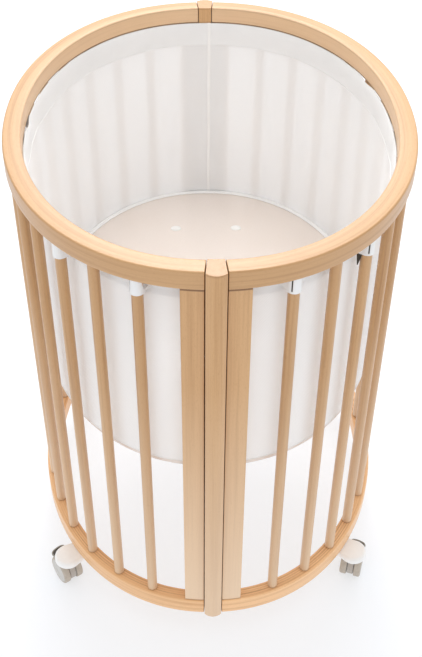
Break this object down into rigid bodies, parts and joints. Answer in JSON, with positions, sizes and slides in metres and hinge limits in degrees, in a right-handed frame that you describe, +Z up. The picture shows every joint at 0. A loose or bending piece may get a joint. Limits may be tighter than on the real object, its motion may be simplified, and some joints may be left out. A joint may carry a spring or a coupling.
{
  "type": "baby crib",
  "caption": "Oval baby crib with round spindles between two rails, end posts, a mattress board, a fabric mesh liner and swivel casters.",
  "frame": {"origin": "on the floor under the middle of the crib", "axes": "+Z up, Y along the crib from the front post (-Y) to the rear post (+Y), X across it"},
  "size_m": [0.671, 0.8598, 0.877],
  "materials": {
    "beech": "clear matt lacquer over pale beech",
    "board_laminate": "smooth pale laminate on plywood, slight gloss",
    "liner_fabric": "white polyester mesh with a woven band",
    "white_plastic": "satin white moulded plastic",
    "grey_plastic": "warm grey moulded plastic",
    "wheel_rubber": "warm grey soft tread",
    "steel": "zinc-plated bracket"
  },
  "bodies": {
    "root": {"top_rail_left": "beech", "bottom_rail_left": "beech", "top_rail_right": "beech", "bottom_rail_right": "beech", "end_post_front": "beech", "stile_front_left": "beech", "stile_front_right": "beech", "end_post_rear": "beech", "stile_rear_left": "beech", "stile_rear_right": "beech", "spindle_left_01": "beech", "spindle_left_02": "beech", "spindle_left_03": "beech", "spindle_left_04": "beech", "spindle_left_05": "beech", "spindle_left_06": "beech", "spindle_left_07": "beech", "spindle_left_08": "beech", "spindle_left_09": "beech", "spindle_left_10": "beech", "spindle_left_11": "beech", "spindle_left_12": "beech", "spindle_left_13": "beech", "spindle_left_14": "beech", "spindle_right_01": "beech", "spindle_right_02": "beech", "spindle_right_03": "beech", "spindle_right_04": "beech", "spindle_right_05": "beech", "spindle_right_06": "beech", "spindle_right_07": "beech", "spindle_right_08": "beech", "spindle_right_09": "beech", "spindle_right_10": "beech", "spindle_right_11": "beech", "spindle_right_12": "beech", "spindle_right_13": "beech", "spindle_right_14": "beech", "mattress_board": "board_laminate", "mesh_liner": "liner_fabric", "board_bracket_front": "steel", "board_bracket_rear": "steel", "caster_mount_front_left": "white_plastic", "caster_mount_front_right": "white_plastic", "caster_mount_rear_left": "white_plastic", "caster_mount_rear_right": "white_plastic"},
    "caster_front_left": {"caster_yoke_front_left": "grey_plastic"},
    "wheel_front_left_left": {"caster_wheel_front_left_left": "wheel_rubber"},
    "wheel_front_left_right": {"caster_wheel_front_left_right": "wheel_rubber"},
    "pedal_front_left": {"brake_pedal_front_left": "grey_plastic"},
    "caster_front_right": {"caster_yoke_front_right": "grey_plastic"},
    "wheel_front_right_left": {"caster_wheel_front_right_left": "wheel_rubber"},
    "wheel_front_right_right": {"caster_wheel_front_right_right": "wheel_rubber"},
    "pedal_front_right": {"brake_pedal_front_right": "grey_plastic"},
    "caster_rear_left": {"caster_yoke_rear_left": "grey_plastic"},
    "wheel_rear_left_left": {"caster_wheel_rear_left_left": "wheel_rubber"},
    "wheel_rear_left_right": {"caster_wheel_rear_left_right": "wheel_rubber"},
    "caster_rear_right": {"caster_yoke_rear_right": "grey_plastic"},
    "wheel_rear_right_left": {"caster_wheel_rear_right_left": "wheel_rubber"},
    "wheel_rear_right_right": {"caster_wheel_rear_right_right": "wheel_rubber"}
  },
  "joints": [
    {"name": "caster_swivel_front_left", "type": "hinge", "parent": "root", "child": "caster_front_left", "pos_m": [-0.27571, -0.28691, 0.059], "axis": [0, 0, 1], "continuous": true},
    {"name": "wheel_spin_front_left_left", "type": "hinge", "parent": "caster_front_left", "child": "wheel_front_left_left", "pos_m": [-0.28131, -0.27862, 0.028], "axis": [0.829, 0.5592, 0], "continuous": true},
    {"name": "wheel_spin_front_left_right", "type": "hinge", "parent": "caster_front_left", "child": "wheel_front_left_right", "pos_m": [-0.28131, -0.27862, 0.028], "axis": [0.829, 0.5592, 0], "continuous": true},
    {"name": "brake_tip_front_left", "type": "hinge", "parent": "caster_front_left", "child": "pedal_front_left", "pos_m": [-0.28969, -0.27192, 0.0583], "axis": [-0.7314, -0.682, 0], "range_deg": [0, 10]},
    {"name": "caster_swivel_front_right", "type": "hinge", "parent": "root", "child": "caster_front_right", "pos_m": [0.27571, -0.28691, 0.059], "axis": [0, 0, 1], "continuous": true},
    {"name": "wheel_spin_front_right_left", "type": "hinge", "parent": "caster_front_right", "child": "wheel_front_right_left", "pos_m": [0.2788, -0.2774, 0.028], "axis": [0.9511, -0.309, 0], "continuous": true},
    {"name": "wheel_spin_front_right_right", "type": "hinge", "parent": "caster_front_right", "child": "wheel_front_right_right", "pos_m": [0.2788, -0.2774, 0.028], "axis": [0.9511, -0.309, 0], "continuous": true},
    {"name": "brake_tip_front_right", "type": "hinge", "parent": "caster_front_right", "child": "pedal_front_right", "pos_m": [0.28502, -0.26865, 0.0583], "axis": [-0.891, 0.454, 0], "range_deg": [0, 10]},
    {"name": "caster_swivel_rear_left", "type": "hinge", "parent": "root", "child": "caster_rear_left", "pos_m": [-0.27571, 0.28691, 0.059], "axis": [0, 0, 1], "continuous": true},
    {"name": "wheel_spin_rear_left_left", "type": "hinge", "parent": "caster_rear_left", "child": "wheel_rear_left_left", "pos_m": [-0.27102, 0.29574, 0.028], "axis": [0.8829, -0.4695, 0], "continuous": true},
    {"name": "wheel_spin_rear_left_right", "type": "hinge", "parent": "caster_rear_left", "child": "wheel_rear_left_right", "pos_m": [-0.27102, 0.29574, 0.028], "axis": [0.8829, -0.4695, 0], "continuous": true},
    {"name": "caster_swivel_rear_right", "type": "hinge", "parent": "root", "child": "caster_rear_right", "pos_m": [0.27571, 0.28691, 0.059], "axis": [0, 0, 1], "continuous": true},
    {"name": "wheel_spin_rear_right_left", "type": "hinge", "parent": "caster_rear_right", "child": "wheel_rear_right_left", "pos_m": [0.26929, 0.29457, 0.028], "axis": [0.766, 0.6428, 0], "continuous": true},
    {"name": "wheel_spin_rear_right_right", "type": "hinge", "parent": "caster_rear_right", "child": "wheel_rear_right_right", "pos_m": [0.26929, 0.29457, 0.028], "axis": [0.766, 0.6428, 0], "continuous": true}
  ]
}
